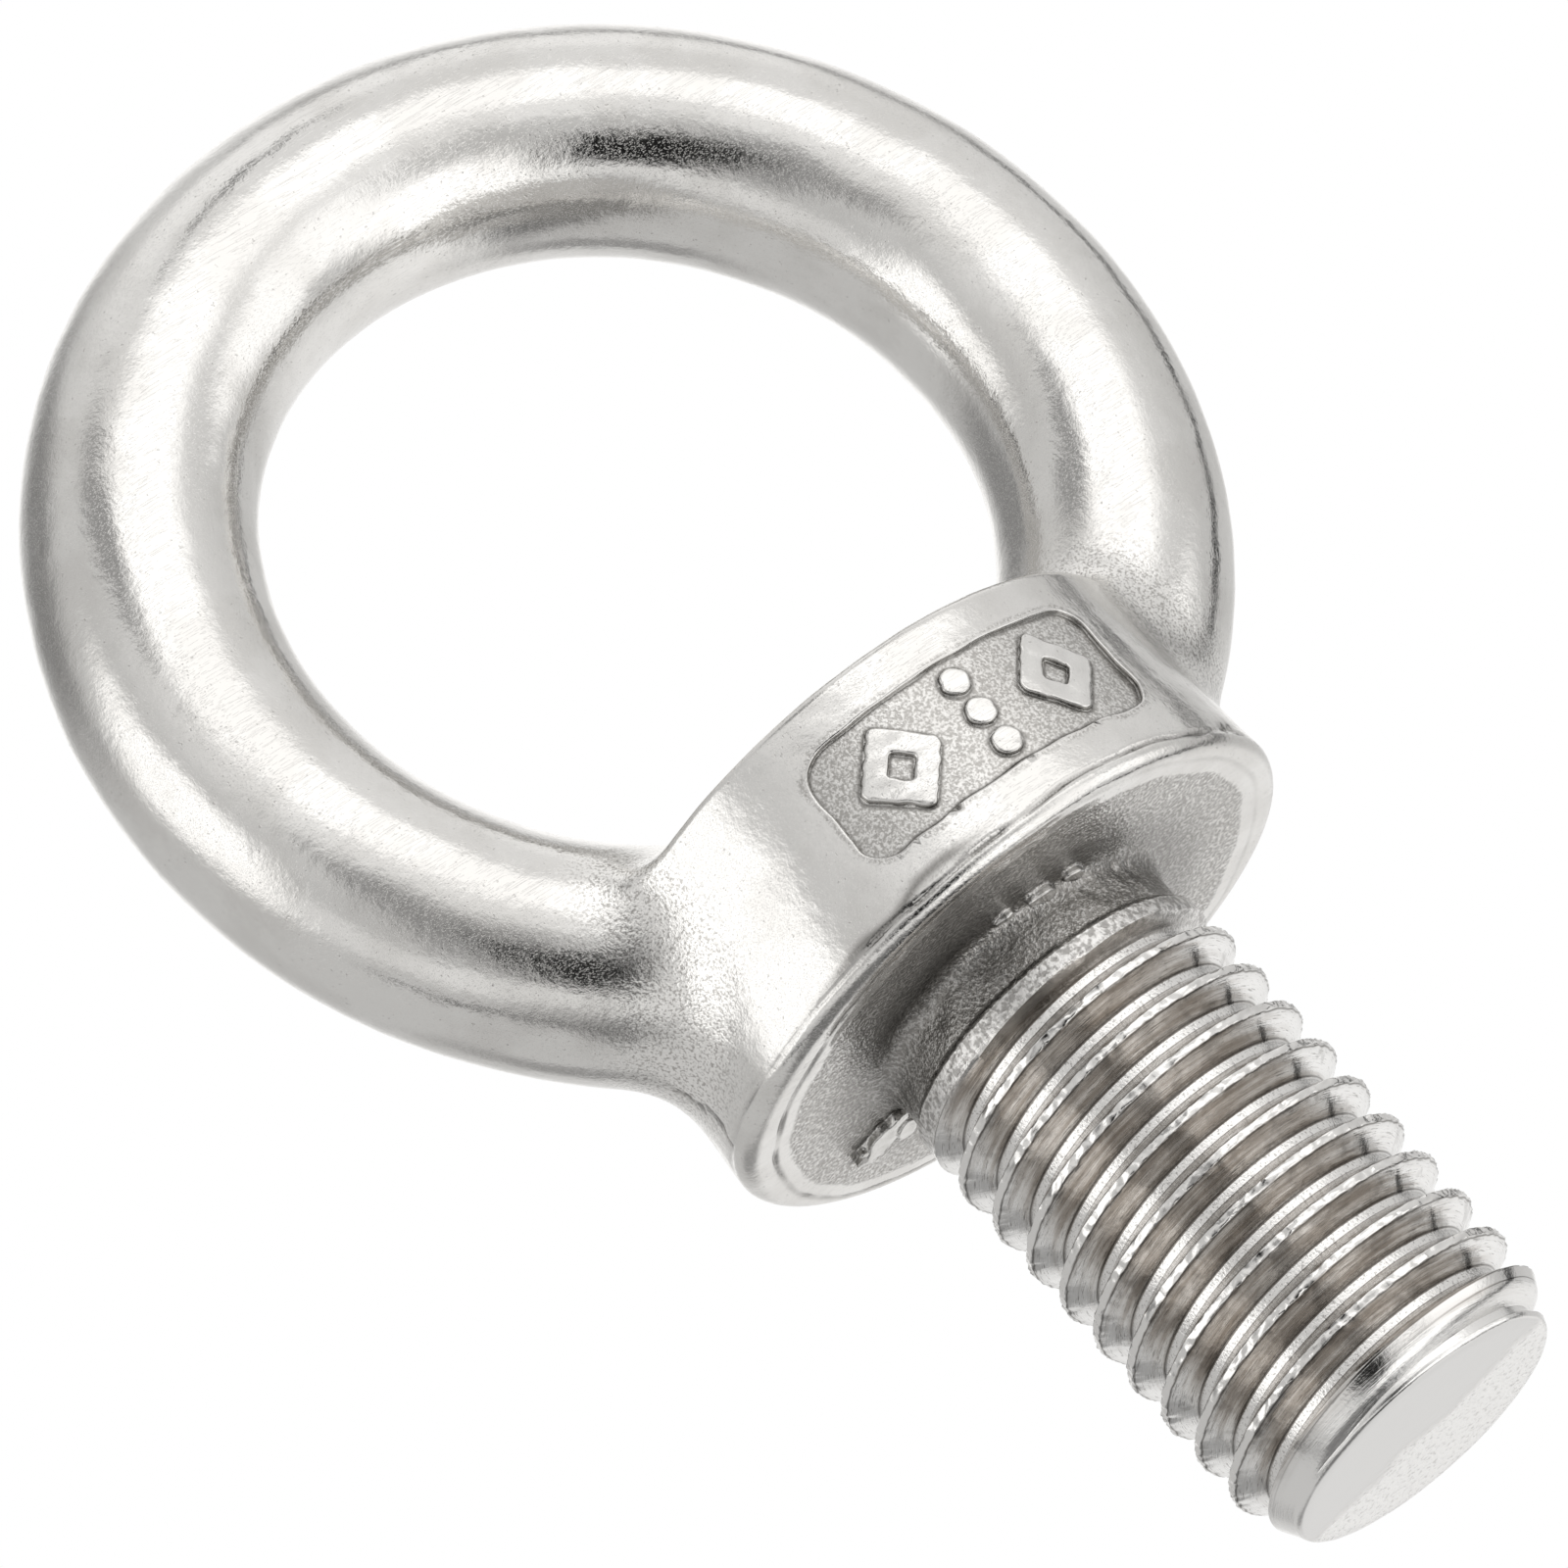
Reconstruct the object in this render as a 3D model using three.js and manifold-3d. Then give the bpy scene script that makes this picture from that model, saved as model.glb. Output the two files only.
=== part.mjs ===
// A lifting eye bolt, cast in one piece of stainless steel, with an M18 x 2.5 right-hand thread.
// Millimetres. Z runs up the thread axis, z = 0 is the seat face under the collar, the eye stands
// above it with its opening looking along Y, and the marked side of the collar faces -Y.
import * as THREE from "three";
import { mergeVertices } from "three/addons/utils/BufferGeometryUtils.js";
import Module from "manifold-3d";

// The eye: a round bar bent to a ring.
const EYE_INNER_RADIUS = 18;
const BAR_RADIUS = 5.85;
const EYE_CENTRE_Z = 30;
const BAR_SIDES = 20;
const RING_STEPS = 72;
// The bow is parted from its two legs, which belong to the collar, on this level plane.
const LEG_TOP_Z = 18;

// The collar: a drum with a narrow round at the top and a rounded lip under it.
const COLLAR_RADIUS = 15.5;
const COLLAR_HEIGHT = 12.3;
const TOP_ROUND = 0.6;
const LIP_ROUND = 0.9;
const ROUND_STEPS = 4;
const COLLAR_SIDES = 72;

// The sunk panel on the collar's wall, with raised marks in it. The casting's pattern draws along
// Y, so the panel and the marks keep one outline all the way in.
const PANEL_WIDTH = 16.9;
const PANEL_HEIGHT = 6.5;
const PANEL_X = 0.45;
const PANEL_Z = 6.55;
const PANEL_CORNER = 1.5;
const PANEL_DEPTH = 0.35;
const MARK_HEIGHT = 0.3;
const LOZENGE_SPREAD = 4.75;
const LOZENGE_HALF_WIDTH = 2.35;
const LOZENGE_HALF_HEIGHT = 2.65;
const LOZENGE_HOLE = 0.36;
const PIP_RADIUS = 0.76;
const PIP_PITCH = 1.95;
const PIP_COUNT = 3;

// The shank: a short plain neck that is cast with the collar, then an M18 x 2.5 thread with a
// chamfered end. The thread is parted from the neck on a level plane.
const SHANK_LENGTH = 30;
const NECK_RADIUS = 8.45;
const NECK_LENGTH = 3;
const THREAD_MAJOR_RADIUS = 8.93;
const THREAD_PITCH = 2.5;
const THREAD_DEPTH = 0.6134 * THREAD_PITCH;
const CREST_WIDTH = THREAD_PITCH / 8;
const ROOT_WIDTH = THREAD_PITCH / 6;
const RIDGE_SINK = 0.3;
// The height of one crest where it crosses the +X side.
const CREST_Z_AT_X = -5.18;
const CREST_TURNS_ABOVE = 0.6;
const CHAMFER_LENGTH = 2.6;
const BLANK_MARGIN = 0.04;
const END_RADIUS = 7.55;
const THREAD_STEPS_PER_TURN = 24;

const wasm = await Module();
wasm.setup();

// A closed three.js geometry as a solid that can be cut and joined.
function solidOf(geometry) {
  const bare = new THREE.BufferGeometry();
  bare.setAttribute("position", geometry.getAttribute("position"));
  if (geometry.index) bare.setIndex(geometry.index);
  const merged = mergeVertices(bare, 1e-4);
  const corners = merged.index.array;
  const kept = [];
  for (let i = 0; i < corners.length; i += 3) {
    const [a, b, c] = corners.slice(i, i + 3);
    if (a !== b && b !== c && c !== a) kept.push(a, b, c);
  }
  return new wasm.Manifold(
    new wasm.Mesh({
      numProp: 3,
      vertProperties: merged.getAttribute("position").array,
      triVerts: Uint32Array.from(kept),
    }),
  );
}

// A solid as a named mesh of its own material.
function meshOf(name, solid, material) {
  const { vertProperties, triVerts } = solid.getMesh();
  const geometry = new THREE.BufferGeometry();
  geometry.setAttribute("position", new THREE.BufferAttribute(vertProperties, 3));
  geometry.setIndex(new THREE.BufferAttribute(triVerts, 1));
  geometry.computeVertexNormals();
  const mesh = new THREE.Mesh(geometry, material);
  mesh.name = name;
  return mesh;
}

// A solid of revolution about Z, from [radius, z] points that run upwards.
function turned(profile, sides) {
  const points = profile.map(([radius, z]) => new THREE.Vector2(radius, z));
  const lathe = new THREE.LatheGeometry(points, sides);
  return solidOf(lathe.rotateX(Math.PI / 2));
}

// The points of a quarter round between two angles, about a centre given as [radius, z].
function arc([centreRadius, centreZ], radius, startDegrees, endDegrees) {
  const points = [];
  for (let i = 0; i <= ROUND_STEPS; i++) {
    const degrees = THREE.MathUtils.lerp(startDegrees, endDegrees, i / ROUND_STEPS);
    const angle = THREE.MathUtils.degToRad(degrees);
    points.push([centreRadius + radius * Math.cos(angle), centreZ + radius * Math.sin(angle)]);
  }
  return points;
}

// A flat shape drawn in X and Z, pushed back along +Y from the given y.
function pushedBack(shape, y, depth) {
  const extruded = new THREE.ExtrudeGeometry(shape, {
    depth,
    bevelEnabled: false,
    curveSegments: 5,
  });
  return solidOf(extruded.rotateX(Math.PI / 2).translate(0, y + depth, 0));
}

// The ring's bar above or below the plane where the bow meets the legs.
function ringPart(keepAbove) {
  const centreRadius = EYE_INNER_RADIUS + BAR_RADIUS;
  const torus = new THREE.TorusGeometry(centreRadius, BAR_RADIUS, BAR_SIDES, RING_STEPS);
  const ring = solidOf(torus.rotateX(Math.PI / 2).translate(0, 0, EYE_CENTRE_Z));
  const reach = 4 * centreRadius;
  const half = new THREE.BoxGeometry(reach, reach, reach);
  half.translate(0, 0, LEG_TOP_Z + (keepAbove ? reach / 2 : -reach / 2));
  return ring.intersect(solidOf(half));
}

function roundedRectangle(width, height, corner) {
  const shape = new THREE.Shape();
  const x = width / 2 - corner;
  const y = height / 2 - corner;
  shape.absarc(x, y, corner, 0, Math.PI / 2);
  shape.absarc(-x, y, corner, Math.PI / 2, Math.PI);
  shape.absarc(-x, -y, corner, Math.PI, 1.5 * Math.PI);
  shape.absarc(x, -y, corner, 1.5 * Math.PI, 2 * Math.PI);
  shape.closePath();
  return shape;
}

function lozenge(shape, scale) {
  shape.moveTo(LOZENGE_HALF_WIDTH * scale, 0);
  shape.lineTo(0, LOZENGE_HALF_HEIGHT * scale);
  shape.lineTo(-LOZENGE_HALF_WIDTH * scale, 0);
  shape.lineTo(0, -LOZENGE_HALF_HEIGHT * scale);
  shape.closePath();
  return shape;
}

// Two lozenge frames with a column of round pips between them, as solids in the panel.
function markPrisms(y, depth) {
  const prisms = [];
  for (const side of [-1, 1]) {
    const frame = lozenge(new THREE.Shape(), 1);
    frame.holes.push(lozenge(new THREE.Path(), LOZENGE_HOLE));
    prisms.push(pushedBack(frame, y, depth).translate([side * LOZENGE_SPREAD, 0, 0]));
  }
  for (let i = 0; i < PIP_COUNT; i++) {
    const pip = new THREE.Shape().absarc(0, 0, PIP_RADIUS, 0, 2 * Math.PI);
    const z = (i - (PIP_COUNT - 1) / 2) * PIP_PITCH;
    prisms.push(pushedBack(pip, y, depth).translate([0, 0, z]));
  }
  return prisms.map((prism) => prism.translate([PANEL_X, 0, PANEL_Z]));
}

// A plain cylinder about the thread axis that reaches past the collar's top and bottom.
function drum(radius) {
  const [low, high] = [-1, COLLAR_HEIGHT + 1];
  return turned([[0, low], [radius, low], [radius, high], [0, high]], COLLAR_SIDES);
}

function collarSolid() {
  const body = turned(
    [
      [0, -NECK_LENGTH],
      [NECK_RADIUS, -NECK_LENGTH],
      [NECK_RADIUS, 0],
      ...arc([COLLAR_RADIUS - LIP_ROUND, LIP_ROUND], LIP_ROUND, -90, 0),
      ...arc([COLLAR_RADIUS - TOP_ROUND, COLLAR_HEIGHT - TOP_ROUND], TOP_ROUND, 0, 90),
      [0, COLLAR_HEIGHT],
    ],
    COLLAR_SIDES,
  );
  const front = -COLLAR_RADIUS - 1;
  const floorRadius = COLLAR_RADIUS - PANEL_DEPTH;
  const outline = roundedRectangle(PANEL_WIDTH, PANEL_HEIGHT, PANEL_CORNER);
  const panel = pushedBack(outline, front, COLLAR_RADIUS).translate([PANEL_X, 0, PANEL_Z]);
  let solid = body.subtract(panel.subtract(drum(floorRadius)));
  const markTop = drum(floorRadius + MARK_HEIGHT);
  for (const prism of markPrisms(front, COLLAR_RADIUS / 2)) {
    solid = solid.add(prism.intersect(markTop));
  }
  return solid.add(ringPart(false));
}

// A right-hand helix about Z whose frames keep the section upright, in the plane of the axis.
class ThreadHelix extends THREE.Curve {
  constructor(radius, startZ, turns) {
    super();
    this.radius = radius;
    this.startZ = startZ;
    this.turns = turns;
  }

  angleAt(t) {
    return 2 * Math.PI * this.turns * t;
  }

  getPoint(t, target = new THREE.Vector3()) {
    const angle = this.angleAt(t);
    const z = this.startZ + THREAD_PITCH * this.turns * t;
    return target.set(this.radius * Math.cos(angle), this.radius * Math.sin(angle), z);
  }

  computeFrenetFrames(segments) {
    const frames = { tangents: [], normals: [], binormals: [] };
    for (let i = 0; i <= segments; i++) {
      const angle = this.angleAt(i / segments);
      frames.tangents.push(new THREE.Vector3(-Math.sin(angle), Math.cos(angle), 0));
      frames.normals.push(new THREE.Vector3(Math.cos(angle), Math.sin(angle), 0));
      frames.binormals.push(new THREE.Vector3(0, 0, -1));
    }
    return frames;
  }
}

// The ridge between the grooves, from below the shank's end up to past the plane under the neck.
function threadRidge() {
  const turnsBelow = Math.ceil((SHANK_LENGTH + CREST_Z_AT_X) / THREAD_PITCH) + 1;
  const turns = turnsBelow + CREST_TURNS_ABOVE;
  const rootRadius = THREAD_MAJOR_RADIUS - THREAD_DEPTH;
  const helix = new ThreadHelix(rootRadius, CREST_Z_AT_X - turnsBelow * THREAD_PITCH, turns);
  const flankSlope = (THREAD_PITCH - CREST_WIDTH - ROOT_WIDTH) / 2 / THREAD_DEPTH;
  const foot = CREST_WIDTH / 2 + flankSlope * (THREAD_DEPTH + RIDGE_SINK);
  const section = new THREE.Shape();
  section.moveTo(-RIDGE_SINK, -foot);
  section.lineTo(THREAD_DEPTH, -CREST_WIDTH / 2);
  section.lineTo(THREAD_DEPTH, CREST_WIDTH / 2);
  section.lineTo(-RIDGE_SINK, foot);
  section.closePath();
  const steps = Math.round(turns * THREAD_STEPS_PER_TURN);
  return solidOf(new THREE.ExtrudeGeometry(section, { steps, extrudePath: helix }));
}

function shankSolid() {
  const rootRadius = THREAD_MAJOR_RADIUS - THREAD_DEPTH;
  const [end, top] = [-SHANK_LENGTH, -NECK_LENGTH];
  const core = turned(
    [[0, end], [rootRadius, end], [rootRadius, top], [0, top]],
    THREAD_STEPS_PER_TURN,
  );
  const blankRadius = THREAD_MAJOR_RADIUS + BLANK_MARGIN;
  const blank = turned(
    [[0, end], [END_RADIUS, end], [blankRadius, end + CHAMFER_LENGTH], [blankRadius, top], [0, top]],
    2 * THREAD_STEPS_PER_TURN,
  );
  return core.add(threadRidge()).intersect(blank);
}

const castFinish = new THREE.MeshStandardMaterial({ color: 0xc9c7c2, roughness: 0.22, metalness: 1 });
const collarFinish = castFinish.clone();
collarFinish.roughness = 0.3;
const threadFinish = new THREE.MeshStandardMaterial({ color: 0xa79f97, roughness: 0.34, metalness: 1 });

const eyeBolt = new THREE.Group();
eyeBolt.add(meshOf("eye_ring", ringPart(true), castFinish));
eyeBolt.add(meshOf("collar", collarSolid(), collarFinish));
eyeBolt.add(meshOf("threaded_shank", shankSolid(), threadFinish));

export default eyeBolt;
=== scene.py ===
import math

import bmesh
import bpy
import numpy as np
from mathutils import Matrix, Vector


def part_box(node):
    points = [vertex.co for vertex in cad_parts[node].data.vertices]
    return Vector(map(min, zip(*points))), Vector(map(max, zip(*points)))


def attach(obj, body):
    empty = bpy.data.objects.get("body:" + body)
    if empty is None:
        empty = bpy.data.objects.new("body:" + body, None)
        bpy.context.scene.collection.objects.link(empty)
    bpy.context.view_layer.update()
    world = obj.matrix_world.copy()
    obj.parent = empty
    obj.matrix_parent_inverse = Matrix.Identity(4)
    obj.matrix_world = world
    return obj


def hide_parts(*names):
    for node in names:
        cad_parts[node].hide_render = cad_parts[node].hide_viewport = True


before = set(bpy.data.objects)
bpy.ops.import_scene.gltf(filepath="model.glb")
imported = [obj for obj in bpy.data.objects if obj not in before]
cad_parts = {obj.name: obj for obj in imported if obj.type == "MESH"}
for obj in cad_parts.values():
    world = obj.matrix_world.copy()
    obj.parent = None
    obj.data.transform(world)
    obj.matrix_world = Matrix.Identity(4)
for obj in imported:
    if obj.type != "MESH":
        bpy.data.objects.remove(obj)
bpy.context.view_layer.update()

MM = 0.001


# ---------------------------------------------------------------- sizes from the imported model

def box_mm(node):
    low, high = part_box(node)
    return np.array(low) / MM, np.array(high) / MM


eye_low, eye_high = box_mm("eye_ring")
collar_low, collar_high = box_mm("collar")
shank_low = box_mm("threaded_shank")[0]

BAR_RADIUS = eye_high[1]
RING_RADIUS = eye_high[0] - BAR_RADIUS
EYE_CENTRE_Z = eye_high[2] - eye_high[0]
LEG_TOP_Z = eye_low[2]
COLLAR_RADIUS = collar_high[1]
NECK_END_Z = collar_low[2]
SHANK_END_Z = shank_low[2]

# ---------------------------------------------------------------- sizes of the casting's details

COLLAR_HEIGHT = 12.3
TOP_ROUND = 0.55
LIP_ROUND = 0.95
FILLET = 2.7
# The wall is cut back a little between the lip's crease and the top edge.
WALL_SET_BACK = 0.04
WALL_HOLLOW = 0.05
CREASE_Z = 1.0
CREASE_DEPTH = 0.20
CREASE_WIDTH = 0.15
NICK_ANGLE = 50
NICK_DEPTH = 0.16
# A second crease parts the smooth lip from the grainy seat.
SEAT_CREASE_RADIUS = 14.75
SEAT_CREASE_DEPTH = 0.13
SEAT_CREASE_WIDTH = 0.15
# Under the legs the drum swells outward, more at -X than at +X.
SWELL_LEFT = 1.25
SWELL_RIGHT = 0.8
SWELL_SPREAD_DEGREES = 40
# The neck is a little undercut above its first, uncut ring.
NECK_RADIUS = 8.2
NECK_RING_RADIUS = 8.62
NECK_RING_TOP_Z = -2.6
NECK_FILLET = 1.1

PANEL_CENTRE = (0.45, 6.55)
PANEL_SIZE = (16.9, 6.5)
PANEL_CORNER = 1.5
PANEL_DEPTH = 0.35
MARK_HEIGHT = 0.3
MARK_EDGE = 0.13
LOZENGE_SPREAD = 4.75
LOZENGE_HALF = (2.35, 2.65)
LOZENGE_HOLE = 0.36
PIP_RADIUS = 0.76
PIP_PITCH = 1.95

# ---------------------------------------------------------------- sizes of the thread

THREAD_RADIUS = 8.93
PITCH = 2.5
THREAD_DEPTH = 0.6134 * PITCH
ROOT_WIDTH = PITCH / 6
CREST_Z_AT_X = -5.18
FLANK_SLOPE = math.tan(math.radians(60))
# The cut runs out between these two heights, under the neck's uncut ring.
CUT_FULL_Z = -4.3
CUT_NONE_Z = -3.7
CHAMFER_TOP_Z = -27.4
CHAMFER_END_RADIUS = 7.5
END_ROUND = 0.3


# ---------------------------------------------------------------- fields: distance in mm, negative inside

def rounded_max(a, b, radius):
    """Where two fields are both inside, with a round of that radius on the edge."""
    u, v = a + radius, b + radius
    return np.minimum(np.maximum(u, v), 0) + np.hypot(np.maximum(u, 0), np.maximum(v, 0)) - radius


def smooth_min(a, b, width):
    """Where either field is inside, with a hollow fillet between them."""
    near = np.maximum(width - np.abs(a - b), 0) / width
    return np.minimum(a, b) - near * near * width / 4


def smooth_step(low, high, x):
    t = np.clip((x - low) / (high - low), 0, 1)
    return t * t * (3 - 2 * t)


def bump(x, centre, width):
    return np.exp(-(((x - centre) / width) ** 2))


def soft_noise(p, size, seed, waves=7):
    """A smooth random field from -1 to 1 or so, with features of that size in mm."""
    draw = np.random.default_rng(seed)
    total = 0
    for _ in range(waves):
        direction = draw.normal(size=3)
        direction *= draw.uniform(0.7, 1.4) * 2 * math.pi / size / np.linalg.norm(direction)
        total = total + np.sin(p @ direction + draw.uniform(0, 2 * math.pi))
    return total / math.sqrt(waves)


def ring_field(p):
    """The eye's bar. Polishing has left it very slightly uneven, always inside its true size."""
    x, y, z = p[:, 0], p[:, 1], p[:, 2] - EYE_CENTRE_Z
    bar = np.hypot(np.hypot(x, z) - RING_RADIUS, y) - BAR_RADIUS
    uneven = 0.035 * (1 + 0.6 * soft_noise(p, 11, 1)) + 0.008 * (1 + soft_noise(p, 3.5, 2))
    return bar + np.maximum(uneven, 0)


def panel_outline(p):
    """Distance to the sunk panel's outline, seen along Y. Polishing has worn it uneven."""
    x = np.abs(p[:, 0] - PANEL_CENTRE[0]) - PANEL_SIZE[0] / 2
    z = np.abs(p[:, 2] - PANEL_CENTRE[1]) - PANEL_SIZE[1] / 2
    return rounded_max(x, z, PANEL_CORNER) + 0.05 * soft_noise(p, 2.0, 13)


def lozenge(x, z, painted_neck_shade, corner):
    """A lozenge with rounded corners."""
    half_x, half_z = LOZENGE_HALF
    reach = painted_neck_shade * half_x * half_z / math.hypot(half_x, half_z)
    across = x * half_z / math.hypot(half_x, half_z)
    up = z * half_x / math.hypot(half_x, half_z)
    return rounded_max(np.abs(across + up) - reach, np.abs(across - up) - reach, corner)


def marks_outline(p):
    """Distance to the nearest raised mark: two lozenge frames with three pips between them."""
    x, z = p[:, 0] - PANEL_CENTRE[0], p[:, 2] - PANEL_CENTRE[1]
    found = np.full(len(p), 9.0)
    for side in (-1, 1):
        outer = lozenge(x - side * LOZENGE_SPREAD, z, 1, 0.45)
        hole = lozenge(x - side * LOZENGE_SPREAD, z, LOZENGE_HOLE, 0.2)
        found = np.minimum(found, np.maximum(outer, -hole))
    for step in (-1, 0, 1):
        found = np.minimum(found, np.hypot(x, z - step * PIP_PITCH) - PIP_RADIUS)
    return found


def lip_wander(p):
    """How far the creases along the lip stray from a true circle."""
    angle = np.arctan2(p[:, 0], -p[:, 1])
    return 0.12 * np.sin(3 * angle + 0.6) + 0.08 * np.sin(7 * angle) + 0.05 * np.sin(17 * angle)


def round_angle(p):
    """Degrees round the axis from the marked side, towards +X."""
    return np.degrees(np.arctan2(p[:, 0], -p[:, 1]))


def crease_shares(p):
    """How deep the wall's crease and the seat's crease are from place to place, up to 1."""
    angle = round_angle(p)
    varied = 0.75 + 0.3 * soft_noise(p, 2.8, 15)
    at_wall = smooth_step(-75, -15, angle) * smooth_step(62, 52, angle)
    at_seat = smooth_step(20, -45, angle)
    return [np.clip(varied * (0.25 + 0.75 * share), 0.1, 1) for share in (at_wall, at_seat)]


def nick(p):
    """Nearness to the torn nick where the wall's crease ends, from 0 to 1."""
    along = np.radians(round_angle(p) - NICK_ANGLE) * COLLAR_RADIUS
    return bump(along, 0, 0.9) * bump(p[:, 2], 1.3 + 0.1 * along, 0.28) * (p[:, 1] < 0)


def swell(p):
    """How far the drum swells outward under the legs."""
    from_leg = np.degrees(np.arctan2(np.abs(p[:, 1]), np.abs(p[:, 0])))
    height = np.where(p[:, 0] < 0, SWELL_LEFT, SWELL_RIGHT)
    low_down = 0.3 + 0.7 * smooth_step(10.0, 0.5, p[:, 2])
    return height * low_down * bump(from_leg, 0, SWELL_SPREAD_DEGREES)


def drum_field(p):
    """The collar's drum with its lip, creases and panel, without the legs."""
    x, y, z = p[:, 0], p[:, 1], p[:, 2]
    radius = np.hypot(x, y)
    wander = lip_wander(p)
    swollen = swell(p)
    wall_share, seat_share = crease_shares(p)
    crease = CREASE_DEPTH * wall_share * bump(z, CREASE_Z + wander, CREASE_WIDTH)
    crease = crease + NICK_DEPTH * nick(p) * (1 + 0.5 * soft_noise(p, 0.9, 16))
    hollow = WALL_HOLLOW * smooth_step(1.0, 3.0, z) * smooth_step(12.2, 10.5, z)
    set_back = WALL_SET_BACK * smooth_step(0.8, 1.4, z)
    wall = radius - COLLAR_RADIUS - swollen + crease + hollow + set_back
    uneven = 0.012 * soft_noise(p, 4, 3) + 0.006 * soft_noise(p, 1.6, 4)
    wall = wall + 0.02 + uneven * smooth_step(1.0, 1.6, z)
    raised_patch = bump(x, -6.6, 1.1) * bump(z, 10.9, 0.5) * (y < 0)
    wall = wall - 0.05 * raised_patch
    seat_line = SEAT_CREASE_RADIUS + 0.8 * wander
    seat_crease = SEAT_CREASE_DEPTH * seat_share * bump(radius, seat_line, SEAT_CREASE_WIDTH)
    seat = -z + seat_crease + 0.02 + 0.02 * soft_noise(p, 2.0, 5) * smooth_step(14.6, 14.0, radius)
    top = z - COLLAR_HEIGHT + 0.01 * soft_noise(p, 3, 6)
    drum = rounded_max(rounded_max(wall, seat, LIP_ROUND), top, TOP_ROUND)
    floor = COLLAR_RADIUS - PANEL_DEPTH - radius
    sunk = rounded_max(rounded_max(panel_outline(p), floor, MARK_EDGE), y + 4, MARK_EDGE)
    drum = rounded_max(drum, -sunk, MARK_EDGE)
    mark_top = radius - (COLLAR_RADIUS - PANEL_DEPTH + MARK_HEIGHT) + 0.02 * soft_noise(p, 1.2, 8)
    mark = rounded_max(marks_outline(p) + 0.03 * soft_noise(p, 0.9, 9), mark_top, MARK_EDGE)
    mark = np.maximum(mark, COLLAR_RADIUS - 1.5 - radius)
    return np.minimum(drum, np.where(y < 0, mark, 9.0))


def neck_field(p):
    """The short grainy neck under the seat, which runs on past the plane where the thread begins."""
    radius = np.hypot(p[:, 0], p[:, 1])
    ring = smooth_step(NECK_RING_TOP_Z, NECK_RING_TOP_Z - 0.35, p[:, 2])
    lumps = 0.04 * soft_noise(p, 1.3, 10) * smooth_step(NECK_END_Z, NECK_END_Z + 0.5, p[:, 2])
    neck = NECK_RADIUS + ring * (NECK_RING_RADIUS - NECK_RADIUS)
    return np.maximum(radius - neck + lumps, p[:, 2] - 2)


# Lumps on the seat, from the casting's gate and its trimming: x, y, half length, half width,
# height, and the direction of the length in degrees.
SEAT_LUMPS = (
    (-7.5, 7.0, 1.8, 0.95, 0.50, 140),
    (-6.3, 7.1, 0.8, 0.6, 0.62, 100),
    (-0.4, -8.7, 0.8, 0.4, 0.55, 10),
    (1.7, -8.6, 0.6, 0.35, 0.45, 20),
    (-2.6, -8.5, 0.5, 0.3, 0.38, -20),
)


def lump_field(p):
    """Low flat-topped lumps with a facetted outline."""
    found = np.full(len(p), 9.0)
    for x, y, half_length, half_width, height, degrees in SEAT_LUMPS:
        c, s = math.cos(math.radians(degrees)), math.sin(math.radians(degrees))
        along = ((p[:, 0] - x) * c + (p[:, 1] - y) * s) / half_length
        across = ((p[:, 1] - y) * c - (p[:, 0] - x) * s) / half_width
        outline = (np.hypot(along, across) - 1 + 0.13 * soft_noise(p, 1.1, 11)) * half_width
        top = -p[:, 2] - height + 0.04 * soft_noise(p, 1.2, 14)
        found = np.minimum(found, rounded_max(outline, top, 0.12))
    return np.maximum(found, p[:, 2] - 1)


def parting_line(p):
    """Nearness to the mould's parting line, which shows on the leg root at -X, from 0 to 1."""
    drift = 0.6 + 0.25 * np.sin(1.9 * p[:, 2]) + 0.1 * np.sin(5.3 * p[:, 2])
    reach = smooth_step(0.9, 1.6, p[:, 2]) * smooth_step(5.8, 4.8, p[:, 2])
    return bump(p[:, 1], drift, 0.14) * reach * (p[:, 0] < -12)


def collar_field(p):
    ring = ring_field(p)
    drum = drum_field(p)
    body = smooth_min(ring, drum, FILLET) + 0.12 * parting_line(p)
    body = smooth_min(body, neck_field(p), NECK_FILLET)
    return np.where(p[:, 2] < 1, smooth_min(body, lump_field(p), 0.12), body)


# ---------------------------------------------------------------- meshing a field

def gradient(field, p, step=2e-3):
    slope = np.empty_like(p)
    for axis in range(3):
        shift = np.zeros(3)
        shift[axis] = step
        slope[:, axis] = field(p + shift) - field(p - shift)
    return slope / (2 * step)


def settle(field, p, rounds=4):
    """Moves points onto the field's surface."""
    for _ in range(rounds):
        slope = gradient(field, p)
        square = np.maximum((slope * slope).sum(1), 0.2)
        move = np.clip(field(p) / square, -0.3, 0.3)
        p = p - slope * move[:, None]
    return p


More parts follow.
